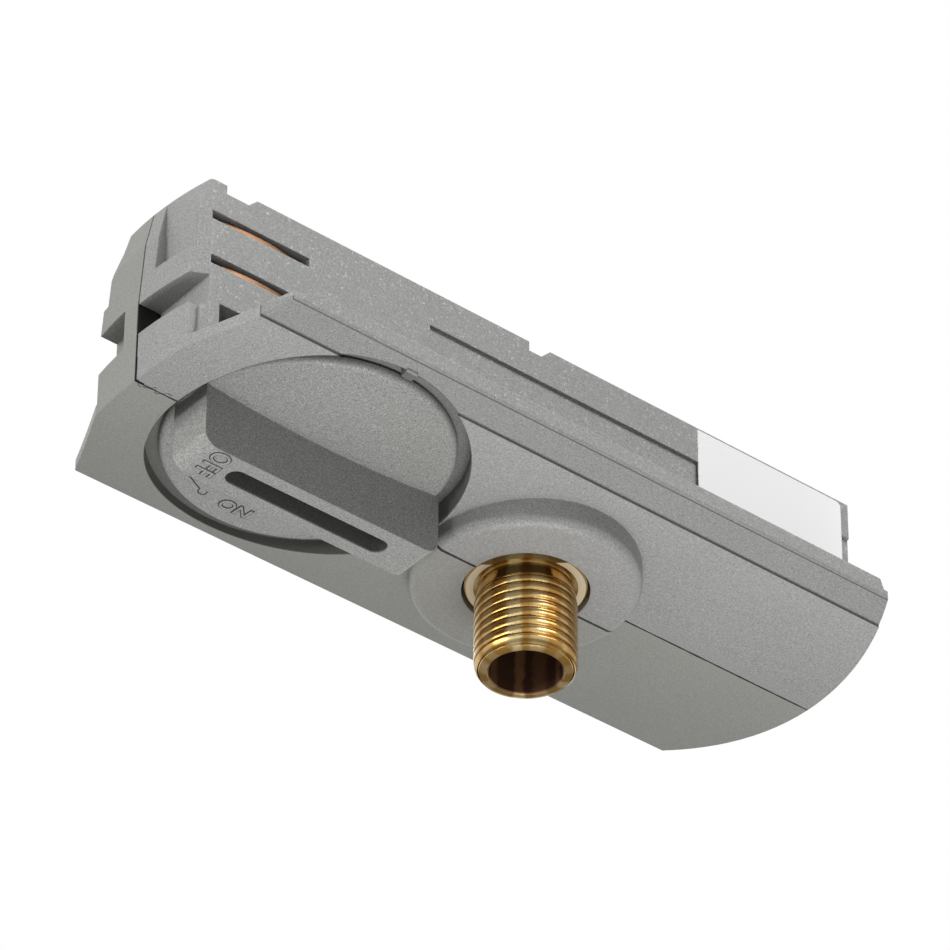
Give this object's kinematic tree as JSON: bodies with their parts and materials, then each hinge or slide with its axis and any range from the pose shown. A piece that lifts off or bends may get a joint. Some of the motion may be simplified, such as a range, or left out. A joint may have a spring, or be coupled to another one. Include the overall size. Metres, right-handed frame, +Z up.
{
  "type": "track_light_adapter",
  "caption": "Track light adapter with a turning lock knob, side contacts that swing out, a crowned cover and a brass threaded cord inlet",
  "frame": {"origin": "on the axis of the cord nipple, level with the lowest line of the crowned cover", "axes": "+Z up as it hangs under the track, the nipple points down; +X to the round end; -Y to the side with the contact slots and the label"},
  "size_m": [0.0836, 0.0342, 0.0322],
  "materials": {
    "housing_plastic": "silver grey metallic speckle, satin",
    "knob_plastic": "silver grey metallic speckle, satin",
    "brass_nipple": "turned, slightly dulled",
    "terminal_brass": "drawn",
    "screw_steel": "zinc plated",
    "contact_copper": "bare copper strip",
    "inner_plastic": "natural moulded",
    "label_white": "paper white film"
  },
  "bodies": {
    "housing": {"housing_near": "housing_plastic", "housing_far": "housing_plastic", "cord_nipple": "brass_nipple", "nipple_nut": "brass_nipple", "terminal_block": "inner_plastic", "live_terminal": "terminal_brass", "neutral_terminal": "terminal_brass", "earth_terminal": "terminal_brass", "live_terminal_screw": "screw_steel", "neutral_terminal_screw": "screw_steel", "earth_terminal_screw": "screw_steel", "housing_screws": "screw_steel", "detent_spring": "screw_steel", "label": "label_white"},
    "knob": {"lock_knob": "knob_plastic", "stem_clip": "screw_steel", "lock_wings": "screw_steel", "cam_rotor": "inner_plastic"},
    "contacts": {"contact_carriage": "inner_plastic", "live_contact": "contact_copper", "neutral_contact": "contact_copper"},
    "earth": {"earth_carriage": "inner_plastic", "earth_contact": "contact_copper"}
  },
  "joints": [
    {"name": "knob_turn", "type": "hinge", "parent": "housing", "child": "knob", "pos_m": [-0.02675, 0, 0], "axis": [0, 0, 1], "range_deg": [0, 90]},
    {"name": "contact_slide", "type": "slide", "parent": "housing", "child": "contacts", "axis": [0, -1, 0], "range_m": [0, 0.003]},
    {"name": "earth_slide", "type": "slide", "parent": "housing", "child": "earth", "axis": [0, 1, 0], "range_m": [0, 0.003]}
  ],
  "couplings": [
    {"joint": "contact_slide", "follows": "knob_turn", "m_per_rad": 0.0019098},
    {"joint": "earth_slide", "follows": "knob_turn", "m_per_rad": 0.0019098}
  ]
}
